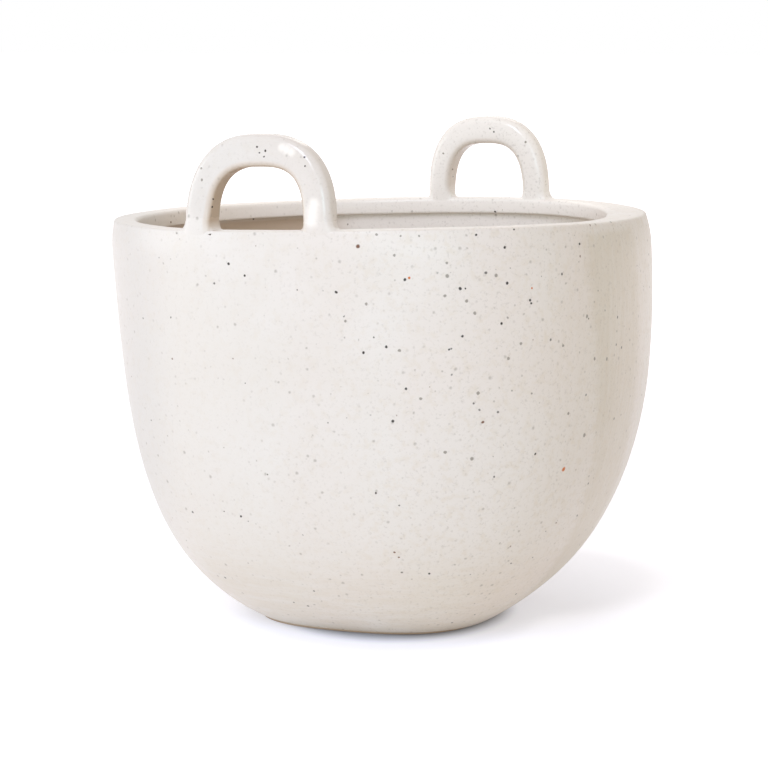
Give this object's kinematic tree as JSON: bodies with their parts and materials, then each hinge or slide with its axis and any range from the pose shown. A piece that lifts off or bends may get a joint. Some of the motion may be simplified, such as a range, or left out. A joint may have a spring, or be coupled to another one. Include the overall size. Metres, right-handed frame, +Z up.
{
  "type": "flower pot",
  "caption": "Deep bowl-shaped stoneware flower pot with a rounded lip, a low foot and upright loop handles on the rim, in a speckled cream glaze.",
  "frame": {"origin": "on the table, under the middle of the pot's overall width and depth", "axes": "+Z up, -Y towards the front handle, +X to the right seen from the front"},
  "size_m": [0.195, 0.1945, 0.1831],
  "materials": {
    "speckled_glaze": "satin cream glaze with fine grey mottling and dark brown and rust specks"
  },
  "bodies": {
    "root": {"pot_body": "speckled_glaze", "front_handle": "speckled_glaze", "back_handle": "speckled_glaze"}
  },
  "joints": []
}
